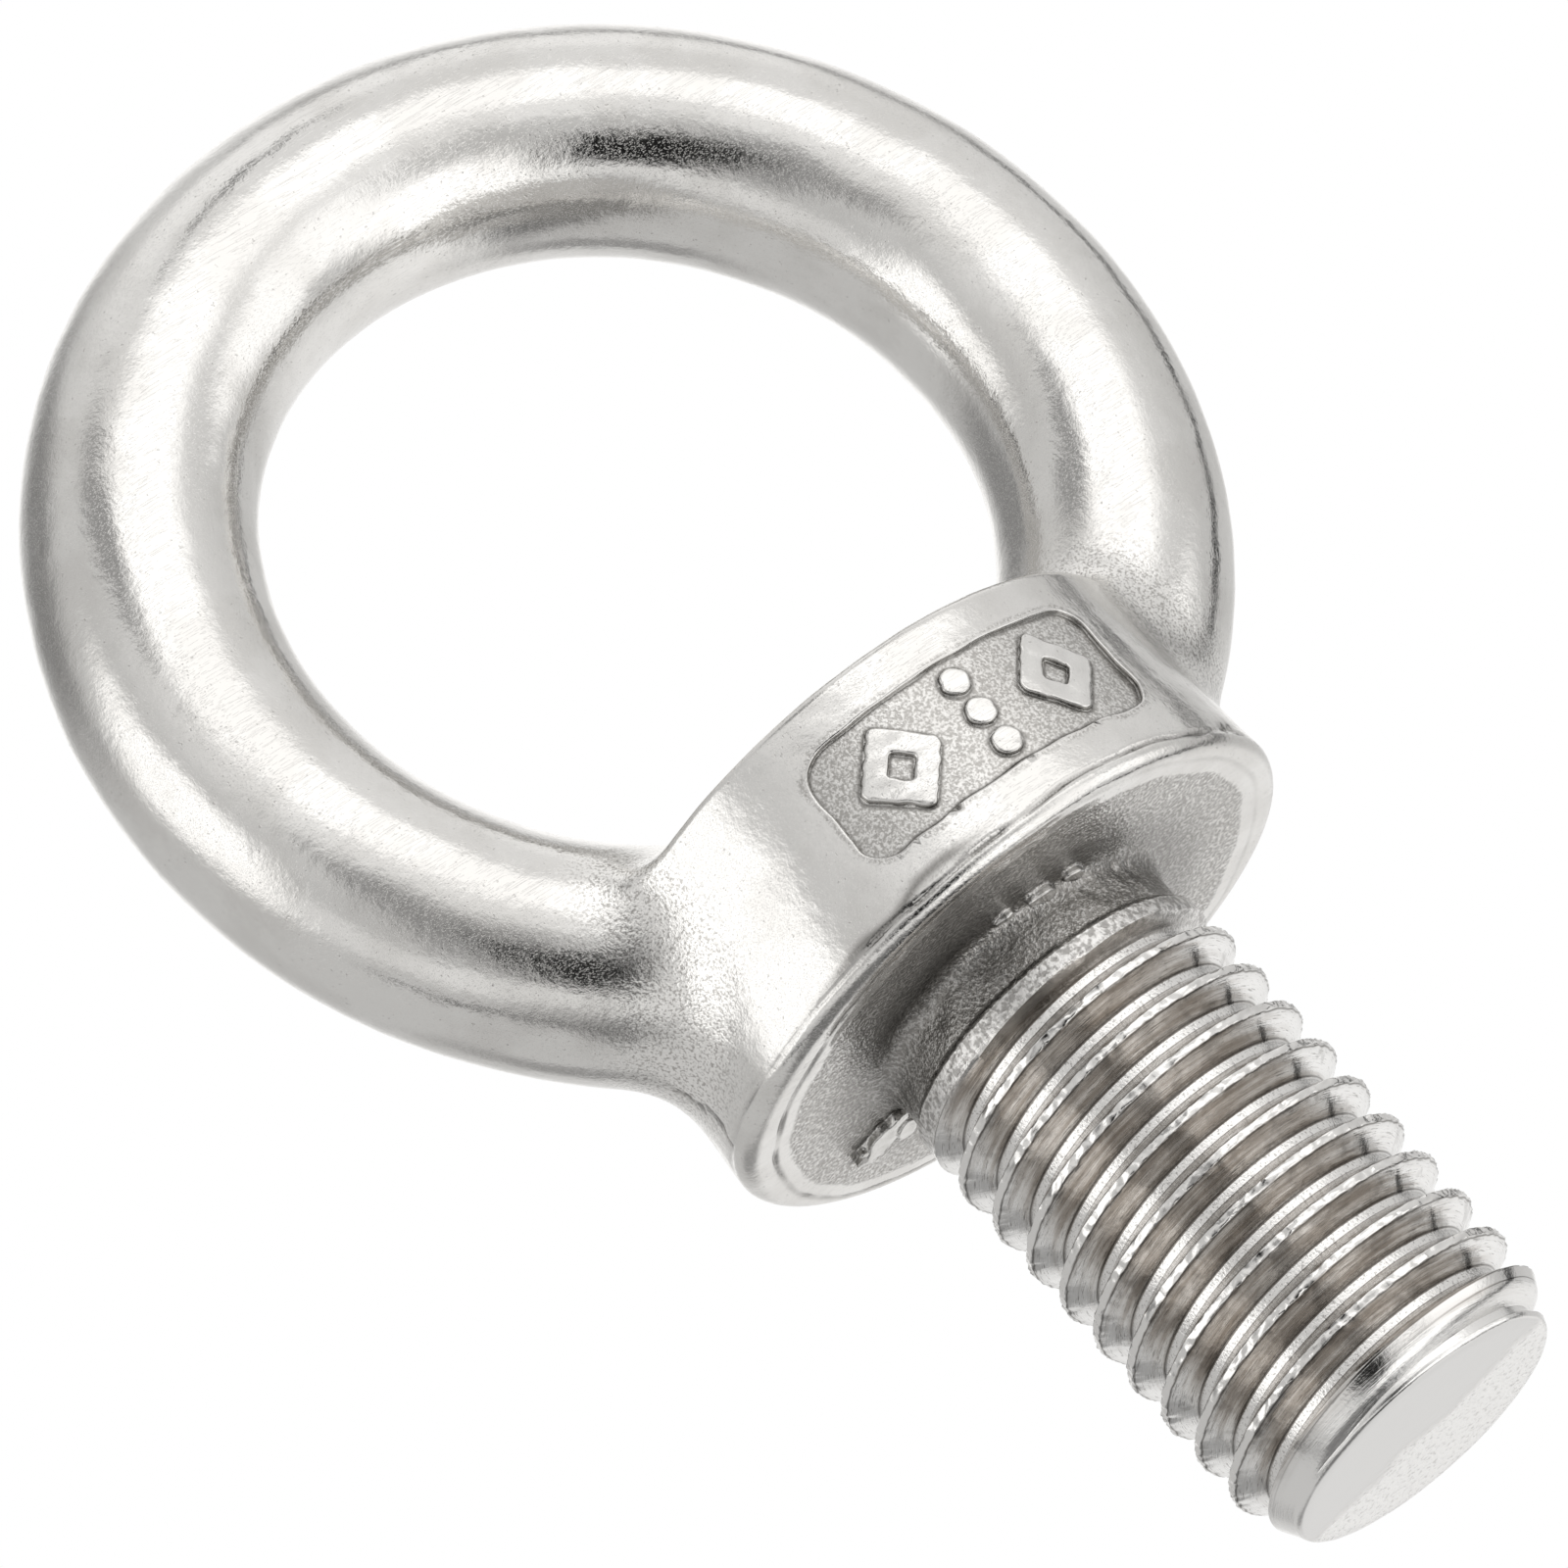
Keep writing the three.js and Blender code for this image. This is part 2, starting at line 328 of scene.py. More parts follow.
def surface_net(field, low, high, cell):
    """Points and triangles of the field's surface between two corners, from a grid of cubes."""
    counts = [int(math.ceil((b - a) / cell)) + 1 for a, b in zip(low, high)]
    axes = [a + cell * np.arange(n) for a, n in zip(low, counts)]
    grid = np.stack(np.meshgrid(*axes, indexing="ij"), -1).reshape(-1, 3)
    value = field(grid).reshape(counts)
    inside = value < 0
    total = np.zeros((value.size, 3))
    hits = np.zeros(value.size)
    quads = []
    steps = np.eye(3, dtype=int)
    for axis in range(3):
        step, u, v = steps[axis], steps[(axis + 1) % 3], steps[(axis + 2) % 3]
        near = np.take(inside, range(counts[axis] - 1), axis)
        far = np.take(inside, range(1, counts[axis]), axis)
        index = np.argwhere(near != far)
        start = value[tuple(index.T)]
        share = start / (start - value[tuple((index + step).T)])
        point = np.array(low) + cell * (index + share[:, None] * step)
        ring = [index - u - v, index - v, index, index - u]
        whole = np.all([(c >= 0).all(1) & (c < np.array(counts) - 1).all(1) for c in ring], 0)
        corners = [np.ravel_multi_index(c[whole].T, counts) for c in ring]
        for corner in corners:
            np.add.at(total, corner, point[whole])
            np.add.at(hits, corner, 1)
        quad = np.stack(corners, 1)
        quads.append(np.where((start[whole] > 0)[:, None], quad[:, ::-1], quad))
    quads = np.concatenate(quads)
    used, quads = np.unique(quads, return_inverse=True)
    quads = quads.reshape(-1, 4)
    points = settle(field, total[used] / hits[used, None])
    return points, np.concatenate([quads[:, [0, 1, 2]], quads[:, [0, 2, 3]]])


def refine(field, points, triangles, longest, rounds=5):
    """Splits each edge that is longer than longest(middle), until none is."""
    for _ in range(rounds):
        sides = triangles[:, [[0, 1], [1, 2], [2, 0]]].reshape(-1, 2)
        edges, which = np.unique(np.sort(sides, 1), axis=0, return_inverse=True)
        middle = points[edges].mean(1)
        length = np.linalg.norm(points[edges[:, 0]] - points[edges[:, 1]], axis=1)
        split = length > longest(middle)
        if not split.any():
            break
        new = np.full(len(edges), -1)
        new[split] = len(points) + np.arange(split.sum())
        points = np.concatenate([points, settle(field, middle[split], 2)])
        mids = new[which.reshape(-1, 3)]
        count = (mids >= 0).sum(1)
        made = [triangles[count == 0]]
        for turn in range(3):
            a, b, c = np.roll(triangles, -turn, 1).T
            ab, bc, ca = np.roll(mids, -turn, 1).T
            one = (count == 1) & (ab >= 0)
            two = (count == 2) & (ca < 0)
            made += [np.stack(t, 1)[one] for t in ((a, ab, c), (ab, b, c))]
            made += [np.stack(t, 1)[two] for t in ((ab, b, bc), (a, ab, bc), (a, bc, c))]
            made.append(np.stack((a, ab, ca), 1)[count == 3])
        made.append(mids[count == 3])
        triangles = np.concatenate(made)
    return points, triangles


# ---------------------------------------------------------------- making Blender meshes

def mesh_object(name, points, faces):
    mesh = bpy.data.meshes.new(name)
    mesh.from_pydata((np.asarray(points) * MM).tolist(), [], np.asarray(faces).tolist())
    piece = bpy.data.objects.new(name, mesh)
    bpy.context.scene.collection.objects.link(piece)
    return piece


def cut_level(piece, z, keep_below):
    """Cuts the piece on a level plane and closes the cut."""
    made = bmesh.new()
    made.from_mesh(piece.data)
    everything = made.verts[:] + made.edges[:] + made.faces[:]
    bmesh.ops.bisect_plane(
        made,
        geom=everything,
        plane_co=(0, 0, z * MM),
        plane_no=(0, 0, 1 if keep_below else -1),
        dist=1e-8,
        clear_outer=True,
    )
    open_edges = [e for e in made.edges if e.is_boundary]
    bmesh.ops.holes_fill(made, edges=open_edges, sides=0)
    made.to_mesh(piece.data)
    made.free()


def points_of(mesh):
    co = np.empty(len(mesh.vertices) * 3)
    mesh.vertices.foreach_get("co", co)
    return co.reshape(-1, 3) / MM


def shade_by_field(piece, field, cut_levels):
    """Smooth shading from the field itself, and flat faces on the cuts."""
    mesh = piece.data
    points = points_of(mesh)
    normals = gradient(field, points)
    normals /= np.linalg.norm(normals, axis=1)[:, None]
    mesh.shade_smooth()
    loop_points = np.empty(len(mesh.loops), dtype=int)
    mesh.loops.foreach_get("vertex_index", loop_points)
    loop_normals = normals[loop_points]
    for polygon in mesh.polygons:
        middle = polygon.center[2] / MM
        if abs(polygon.normal[2]) > 0.9999 and min(abs(middle - z) for z in cut_levels) < 1e-3:
            span = slice(polygon.loop_start, polygon.loop_start + polygon.loop_total)
            loop_normals[span] = tuple(polygon.normal)
    mesh.normals_split_custom_set(loop_normals.tolist())


def mark_points(piece, name, values):
    attribute = piece.data.attributes.new(name, "FLOAT", "POINT")
    attribute.data.foreach_set("value", np.asarray(values, dtype=np.float32))


# ---------------------------------------------------------------- the three pieces

RING_STEPS = 360
BAR_STEPS = 88


def make_eye_ring():
    """The bow: the eye's bar above the plane where it meets the collar's leg roots."""
    around, across = np.meshgrid(
        np.arange(RING_STEPS) * 2 * math.pi / RING_STEPS,
        np.arange(BAR_STEPS) * 2 * math.pi / BAR_STEPS,
        indexing="ij",
    )
    reach = RING_RADIUS + BAR_RADIUS * np.cos(across)
    x, y = reach * np.cos(around), BAR_RADIUS * np.sin(across)
    z = EYE_CENTRE_Z + reach * np.sin(around)
    points = settle(ring_field, np.stack([x, y, z], -1).reshape(-1, 3))
    number = np.arange(RING_STEPS * BAR_STEPS).reshape(RING_STEPS, BAR_STEPS)
    onward = np.roll(number, -1, 0)
    faces = np.stack([number, np.roll(number, -1, 1), np.roll(onward, -1, 1), onward], -1)
    piece = mesh_object("eye_bow", points, faces.reshape(-1, 4))
    cut_level(piece, LEG_TOP_Z, keep_below=False)
    shade_by_field(piece, ring_field, [LEG_TOP_Z])
    return piece


def collar_edge_length(p):
    """How fine the collar's mesh is: finest on the marks, fine on edges and creases."""
    radius = np.hypot(p[:, 0], p[:, 1])
    length = np.full(len(p), 0.6)
    lip = (radius > 14.0) & (p[:, 2] < 1.8)
    top_edge = (radius > 14.6) & (np.abs(p[:, 2] - COLLAR_HEIGHT + 0.3) < 0.7)
    length[lip | top_edge] = 0.26
    length[(lump_field(p) < 0.3) & (p[:, 2] < 0.5)] = 0.16
    panel = (panel_outline(p) < 0.25) & (p[:, 1] < -5) & (radius > 14.5)
    length[panel] = 0.19
    edges = np.minimum(np.abs(marks_outline(p)), np.abs(panel_outline(p)))
    length[panel & (edges < 0.22)] = 0.12
    return length


def make_collar():
    """The drum, the two leg roots, the marked panel and the neck."""
    reach = math.sqrt((RING_RADIUS + BAR_RADIUS) ** 2 - (EYE_CENTRE_Z - LEG_TOP_Z) ** 2) + 1
    low = (-reach, -COLLAR_RADIUS - 0.7, NECK_END_Z - 0.8)
    high = (reach, COLLAR_RADIUS + 0.7, LEG_TOP_Z + 0.8)
    points, triangles = surface_net(collar_field, low, high, 0.38)
    points, triangles = refine(collar_field, points, triangles, collar_edge_length)
    piece = mesh_object("collar_casting", settle(collar_field, points, 2), triangles)
    cut_level(piece, LEG_TOP_Z, keep_below=True)
    cut_level(piece, NECK_END_Z, keep_below=False)
    shade_by_field(piece, collar_field, [LEG_TOP_Z, NECK_END_Z])
    mark_collar(piece)
    return piece


def mark_collar(piece):
    """Says where the collar is cast skin (grain), half-worn skin (leg) and sandy, where painted shade
    darkens it round the neck, and where lines of painted shade and a painted dark reflection lie."""
    p = points_of(piece.data)
    radius = np.hypot(p[:, 0], p[:, 1])
    wander = lip_wander(p)
    seat_line = SEAT_CREASE_RADIUS + 0.8 * wander
    wall_share, seat_share = crease_shares(p)
    below = smooth_step(0.35, 0.1, p[:, 2])
    off_lump = smooth_step(0.0, 0.06, lump_field(p))
    lump = np.where(p[:, 0] < -4, off_lump, 0.4 + 0.6 * off_lump)
    grain = smooth_step(-0.3, -1.5, radius - seat_line) * below * lump
    mark_points(piece, "grain", grain)

    joined = np.abs(ring_field(p) - drum_field(p))
    side = smooth_step(11.5, 14.0, np.abs(p[:, 0]))
    fillet = smooth_step(5.4, 1.2, joined) * smooth_step(0.9, 1.6, p[:, 2]) * side
    mark_points(piece, "leg", 0.8 * fillet)

    front = (p[:, 1] < -5) & (radius > 14)
    outline, marks = panel_outline(p), marks_outline(p)
    border = 0.6 * smooth_step(0.6, 0.35, outline) * smooth_step(0.05, 0.2, outline)
    floor = smooth_step(-0.02, -0.1, outline) * smooth_step(0.0, 0.12, marks)
    mark_points(piece, "sand", np.where(front, np.maximum(floor, border), 0))

    mark_line = bump(marks, 0.1, 0.1) * (outline < 0)
    panel_line = np.where(front, np.maximum(mark_line, bump(outline, -0.08, 0.1)), 0)
    lump_line = 0.8 * bump(lump_field(p), 0.1, 0.08) * below * (p[:, 0] < -4)
    lip_line = bump(p[:, 2], CREASE_Z + wander, 0.12) * (radius > 15) * wall_share
    seat_edge = bump(radius, seat_line, 0.13) * (p[:, 2] < 0.4) * seat_share
    # A painted dark reflection lies as a streak on the wall over the lip, to the left of the panel.
    angle = round_angle(p)
    reach = smooth_step(-64, -40, angle) * smooth_step(-8, -22, angle)
    streak_z = 1.2 + 0.012 * (angle + 45) + 0.12 * soft_noise(p, 3.2, 17)
    dark_reflection_streak = 0.9 * reach * bump(p[:, 2], streak_z, 0.27) * (radius > 15)
    # Painted shade along the creases, the grooves and the feet of the marks and lumps, with the painted
    # dark reflection on the wall.
    lines = (panel_line, lip_line, seat_edge, lump_line, 0.8 * nick(p), parting_line(p), dark_reflection_streak)
    mark_points(piece, "painted_shade_lines", np.maximum.reduce(lines))

    # Painted shade: the seat and neck round the shank are darkened, above the neck's uncut ring.
    above_ring = smooth_step(NECK_RING_TOP_Z - 0.1, NECK_RING_TOP_Z + 0.2, p[:, 2])
    near_neck = smooth_step(12.8, 9.2, radius) * below
    mark_points(piece, "painted_neck_shade", near_neck * above_ring * lump)


# The thread's rows in one pitch, as shares of the pitch from one crest's middle to the next.
CREST_ROWS = (0.0, 0.045, 0.07)
FLANK_ROWS = (0.082, 0.097, 0.115, 0.18, 0.25, 0.32, 0.375, 0.393)
ROOT_ROWS = (0.408, 0.42, 0.46, 0.5)
THREAD_COLUMNS = 264


def thread_rows():
    half = CREST_ROWS + FLANK_ROWS + ROOT_ROWS
    return np.array(sorted(set(half) | {round(1 - share, 4) for share in half if share > 0}))


def thread_radius(share, angle, z):
    """The thread's radius at a share of the pitch above a crest's middle."""
    p = np.stack([THREAD_RADIUS * np.cos(angle), THREAD_RADIUS * np.sin(angle), z], -1)
    flat = p.reshape(-1, 3)
    torn = soft_noise(flat, 0.55, 20, 14).reshape(z.shape)
    rough = soft_noise(flat, 2.5, 21).reshape(z.shape)
    ragged = soft_noise(flat, 0.8, 22, 12).reshape(z.shape)
    near_crest = smooth_step(0.2, 0.08, np.minimum(share, 1 - share))
    from_root = np.abs(share - 0.5) * PITCH + 0.03 * near_crest * ragged
    root = THREAD_RADIUS - THREAD_DEPTH
    fade = smooth_step(CUT_FULL_Z, CUT_NONE_Z + 0.3, z)
    root = root + fade * (NECK_RING_RADIUS - root)
    flank = np.maximum(from_root - ROOT_WIDTH / 2, 0)
    groove = root + flank * FLANK_SLOPE
    blank = THREAD_RADIUS - 0.03 + near_crest * (0.05 * torn + 0.02 * rough - 0.05)
    run_out = smooth_step(CUT_FULL_Z - 1.1, CUT_NONE_Z, z)
    blank = blank + run_out * (NECK_RING_RADIUS - blank)
    slope = (THREAD_RADIUS - CHAMFER_END_RADIUS) / (CHAMFER_TOP_Z - SHANK_END_Z)
    chamfer = THREAD_RADIUS - slope * (CHAMFER_TOP_Z - z) + 0.01 * rough
    blank = np.minimum(blank, chamfer)
    return np.minimum(groove, blank)


def make_shank():
    """The thread, as rows of points that follow the helix between the neck and the end face."""
    shares = thread_rows()
    turns_down = math.ceil((CREST_Z_AT_X - SHANK_END_Z) / PITCH) + 2
    turns_up = math.ceil((NECK_END_Z - CREST_Z_AT_X) / PITCH) + 1
    steps = np.arange(-turns_down, turns_up)
    along = (steps[:, None] + shares[None, :]).reshape(-1)
    angle = np.arange(THREAD_COLUMNS) * 2 * math.pi / THREAD_COLUMNS
    along, angle = np.meshgrid(along, angle, indexing="ij")
    floor_z = SHANK_END_Z + END_ROUND
    z = CREST_Z_AT_X + PITCH * (along + angle / (2 * math.pi))
    z = np.clip(z, floor_z, NECK_END_Z)
    share = ((z - CREST_Z_AT_X) / PITCH - angle / (2 * math.pi)) % 1.0
    radius = thread_radius(share, angle, z)
    points = np.stack([radius * np.cos(angle), radius * np.sin(angle), z], -1)
    rows, columns = z.shape
    number = np.arange(rows * columns).reshape(rows, columns)
    # Past the last column the helix has climbed one pitch, so it meets the row a turn higher.
    turn = len(shares)
    faces = []
    inner = [number[:-1, :-1], number[:-1, 1:], number[1:, 1:], number[1:, :-1]]
    faces.append(np.stack(inner, -1).reshape(-1, 4))
    lower, upper = number[turn:, 0], number[: rows - turn, -1]
    seam = [upper[:-1], lower[:-1], lower[1:], upper[1:]]
    faces.append(np.stack(seam, -1).reshape(-1, 4))
    piece = mesh_object("shank_thread", points.reshape(-1, 3), np.concatenate(faces))
    close_shank(piece, floor_z)
    mark_shank(piece)
    return piece


def close_shank(piece, floor_z):
    """Joins the rows that lie on each end plane, rounds the end's edge and closes both ends."""
    made = bmesh.new()
    made.from_mesh(piece.data)
    bmesh.ops.remove_doubles(made, verts=made.verts[:], dist=2e-6)
    bmesh.ops.dissolve_degenerate(made, edges=made.edges[:], dist=1e-7)
    open_verts = {v for e in made.edges if e.is_boundary for v in e.verts}
    low_verts = [v for v in open_verts if abs(v.co.z / MM - floor_z) < 1e-3]
    low_verts.sort(key=lambda v: math.atan2(v.co.y, v.co.x))
    # Each ring's drop below the floor plane, its step inward, and then its share of the radius.
    arc = [math.radians(a) for a in (20, 42, 66, 90)]
    rings = [(END_ROUND * math.sin(a), END_ROUND * (1 - math.cos(a)), 1) for a in arc]
    rings += [(END_ROUND, END_ROUND, share) for share in (0.9, 0.65, 0.4, 0.15)]
    outer = low_verts
    for drop, step, share in rings:
        inner = []
        for vert in low_verts:
            flat = Vector((vert.co.x, vert.co.y, 0))
            place = flat.normalized() * (flat.length - step * MM) * share
            place.z = (floor_z - drop) * MM
            inner.append(made.verts.new(place))
        for a, b in zip(range(-1, len(inner) - 1), range(len(inner))):
            made.faces.new((outer[a], outer[b], inner[b], inner[a]))
        outer = inner
    made.faces.new(outer)
    open_edges = [e for e in made.edges if e.is_boundary]
    bmesh.ops.holes_fill(made, edges=open_edges, sides=0)
    bmesh.ops.recalc_face_normals(made, faces=made.faces[:])
    for face in made.faces:
        face.smooth = True
    for edge in made.edges:
        if len(edge.link_faces) == 2 and edge.calc_face_angle(0) > math.radians(38):
            edge.smooth = False
    made.to_mesh(piece.data)
    made.free()


def mark_shank(piece):
    """Says where the thread's crests, roots and the edges between them are, and its uncut top."""
    p = points_of(piece.data)
    angle = np.arctan2(p[:, 1], p[:, 0])
    share = ((p[:, 2] - CREST_Z_AT_X) / PITCH - angle / (2 * math.pi)) % 1.0
    from_crest, from_root = np.minimum(share, 1 - share), np.abs(share - 0.5)
    cut_above = smooth_step(SHANK_END_Z + 0.9, CHAMFER_TOP_Z - 0.7, p[:, 2])
    on_thread = cut_above * smooth_step(CUT_NONE_Z - 0.1, CUT_FULL_Z - 0.1, p[:, 2])
    mark_points(piece, "crest", smooth_step(0.084, 0.070, from_crest) * on_thread)
    mark_points(piece, "root", smooth_step(0.094, 0.082, from_root) * on_thread)
    # Painted shade: thin dark lines along the edges of the crests and roots.
    edge = np.maximum(bump(from_crest, 0.098, 0.012), bump(from_root, 0.106, 0.012))
    mark_points(piece, "edge", edge * on_thread)
    mark_points(piece, "cut", on_thread)
    mark_points(piece, "cast", smooth_step(CUT_FULL_Z, CUT_NONE_Z, p[:, 2]))
    mark_points(piece, "disc", smooth_step(SHANK_END_Z + 0.1, SHANK_END_Z + 0.02, p[:, 2]))


# ---------------------------------------------------------------- node graphs

class Graph:
    """Short words for building a node tree."""

    def __init__(self, tree):
        self.tree = tree
        tree.nodes.clear()

    def node(self, kind, inputs=None, **settings):
        made = self.tree.nodes.new(kind)
        for key, value in settings.items():
            setattr(made, key, value)
        for key, value in (inputs or {}).items():
            self.put(made.inputs[key], value)
        return made

    def put(self, socket, value):
        if isinstance(value, bpy.types.NodeSocket):
            self.tree.links.new(value, socket)
        else:
            socket.default_value = value

    def math(self, operation, a, b=0.0, c=0.0):
        made = self.node("ShaderNodeMath", operation=operation)
        for socket, value in zip(made.inputs, (a, b, c)):
            self.put(socket, value)
        return made.outputs[0]

    def vector(self, operation, a, b=(0, 0, 0)):
        made = self.node("ShaderNodeVectorMath", operation=operation)
        self.put(made.inputs[0], a)
        self.put(made.inputs[1], b)
        return made.outputs["Value" if operation in ("DOT_PRODUCT", "LENGTH") else "Vector"]

    def ramp(self, x, low, high, to_low=0.0, to_high=1.0):
        """A smooth step between two values of x."""
        made = self.node("ShaderNodeMapRange", interpolation_type="SMOOTHSTEP")
        for socket, value in zip(made.inputs, (x, low, high, to_low, to_high)):
            self.put(socket, value)
        return made.outputs[0]

    def mix(self, share, a, b):
        """Numbers mixed by a share."""
        made = self.node("ShaderNodeMix", data_type="FLOAT")
        for socket, value in zip((made.inputs[0], made.inputs[2], made.inputs[3]), (share, a, b)):
            self.put(socket, value)
        return made.outputs[0]

    def blend(self, share, a, b):
        """Colours mixed by a share."""
        made = self.node("ShaderNodeMix", data_type="RGBA")
        colours = [(*c, 1) if isinstance(c, tuple) else c for c in (a, b)]
        for socket, value in zip((made.inputs[0], made.inputs[6], made.inputs[7]), (share, *colours)):
            self.put(socket, value)
        return made.outputs[2]

    def noise(self, where, size_mm, detail=2.0, roughness=0.5):
        """Noise from 0 to 1 with features of about that size."""
        made = self.node("ShaderNodeTexNoise", {"Vector": where})
        made.inputs["Scale"].default_value = 1 / (size_mm * MM)
        made.inputs["Detail"].default_value = detail
        made.inputs["Roughness"].default_value = roughness
        return made.outputs["Fac"]

    def attribute(self, name):
        return self.node("ShaderNodeAttribute", attribute_name=name).outputs["Fac"]


def new_material(name):
    material = bpy.data.materials.new(name)
    material.use_nodes = True
    graph = Graph(material.node_tree)
    shader = graph.node("ShaderNodeBsdfPrincipled")
    output = graph.node("ShaderNodeOutputMaterial")
    graph.put(output.inputs["Surface"], shader.outputs["BSDF"])
    shader.inputs["Metallic"].default_value = 1.0
    return material, graph, shader


def scratches(graph, where, turn_degrees, width_mm, length_mm, rarity):
    """Short hair scratches along one direction, as a depth from 0 to 1."""
    turned = graph.node(
        "ShaderNodeMapping",
        {"Vector": where, "Rotation": [math.radians(a) for a in turn_degrees]},
    )
    turned.inputs["Scale"].default_value = (width_mm / length_mm, 1, 1)
    lines = graph.noise(turned.outputs["Vector"], width_mm, 0.0)
    return graph.ramp(lines, rarity, rarity + 0.06)


def summed(graph, *parts):
    """Adds up heights in metres, each a noise times how high it stands."""
    total = 0.0
    for value, height in parts:
        total = graph.math("MULTIPLY_ADD", value, height, total)
    return total


def stained(graph, colour, *stains):
    """Lays stains over a colour, each a share, how strong it is, and its own colour."""
    for share, strength, stain in stains:
        colour = graph.blend(graph.math("MULTIPLY", share, strength), colour, stain)
    return colour


def casting_material(name):
    """Polished cast stainless steel: bright, softly wavy, finely speckled, with a few pits and hair
    scratches. Attributes say where it is cast skin, half-worn skin or sandy, where painted shade
    darkens it round the neck, and where lines of painted shade and a painted dark reflection lie."""
    material, graph, shader = new_material(name)
    where = graph.node("ShaderNodeTexCoord").outputs["Object"]
    fine = graph.noise(where, 0.17, 2.0, 0.6)
    medium = graph.noise(where, 0.55, 3.0, 0.6)
    waves = graph.noise(where, 1.7, 2.0, 0.5)
    broad = graph.noise(where, 4.5, 3.0, 0.55)
    pebbles = graph.noise(where, 0.21, 2.0, 0.6)
    sanded = graph.noise(where, 0.15, 2.0, 0.6)
    pits = graph.ramp(graph.noise(where, 0.2, 1.0), 0.69, 0.78)
    worn = graph.ramp(broad, 0.42, 0.62)
    ragged = graph.math("MULTIPLY_ADD", medium, 0.6, -0.3)
    grain = graph.ramp(graph.math("ADD", graph.attribute("grain"), ragged), 0.35, 0.65)
    leg = graph.ramp(graph.math("ADD", graph.attribute("leg"), ragged), 0.05, 0.95)
    sand = graph.ramp(graph.math("ADD", graph.attribute("sand"), ragged), 0.30, 0.75)
    hairs = graph.math(
        "MAXIMUM",
        scratches(graph, where, (20, 35, 15), 0.06, 2.2, 0.70),
        scratches(graph, where, (70, -25, 60), 0.05, 1.6, 0.71),
    )
    hairs = graph.math("MAXIMUM", hairs, scratches(graph, where, (-40, 60, -30), 0.05, 2.8, 0.71))

    skin = summed(
        graph,
        (fine, graph.mix(worn, 0.000005, 0.000009)),
        (medium, 0.000020),
        (waves, 0.000022),
        (pits, -0.000006),
        (hairs, -0.000004),
    )
    height = graph.mix(leg, skin, summed(graph, (sanded, 0.00003), (medium, 0.00003)))
    height = graph.mix(sand, height, summed(graph, (sanded, 0.00003)))
    height = graph.mix(grain, height, summed(graph, (pebbles, 0.00009)))
    bump_node = graph.node("ShaderNodeBump", {"Height": height, "Distance": 1.0, "Strength": 1.0})
    graph.put(shader.inputs["Normal"], bump_node.outputs["Normal"])

    roughness = graph.math("MULTIPLY_ADD", medium, 0.05, graph.mix(worn, 0.06, 0.13))
    roughness = graph.mix(leg, roughness, 0.20)
    roughness = graph.mix(sand, roughness, 0.28)
    roughness = graph.mix(grain, roughness, 0.20)
    graph.put(shader.inputs["Roughness"], roughness)

    bright = (0.80, 0.79, 0.772)
    dull = (0.74, 0.728, 0.708)
    dark = (0.30, 0.287, 0.27)
    pale = (0.93, 0.92, 0.90)
    # A near-black used only for painted shade and a painted dark reflection.
    painted_shade_black = (0.15, 0.143, 0.133)
    pockets = graph.ramp(pebbles, 0.63, 0.42)
    sand_pockets = graph.ramp(sanded, 0.62, 0.40)
    colour = stained(
        graph,
        graph.blend(worn, bright, dull),
        (graph.math("MULTIPLY", grain, pockets), 0.8, dark),
        (leg, 0.8, pale),
        (graph.math("MULTIPLY", leg, graph.ramp(sanded, 0.52, 0.36)), 0.75, dark),
        (graph.math("MULTIPLY", sand, sand_pockets), 0.7, dark),
        # Painted shade round the neck.
        (graph.attribute("painted_neck_shade"), 0.55, painted_shade_black),
        (pits, 0.35, dark),
        # Painted shade along creases and grooves, and the painted dark reflection on the wall.
        (graph.attribute("painted_shade_lines"), 0.85, painted_shade_black),
    )
    graph.put(shader.inputs["Base Color"], colour)
    return material


LINE_LENGTH_TO_WIDTH = 22
# Round the axis, the flanks are painted pale this way and the opposite way, as a painted reflection.
PAINTED_SHEEN_DIRECTION = (math.cos(math.radians(-25)), math.sin(math.radians(-25)))


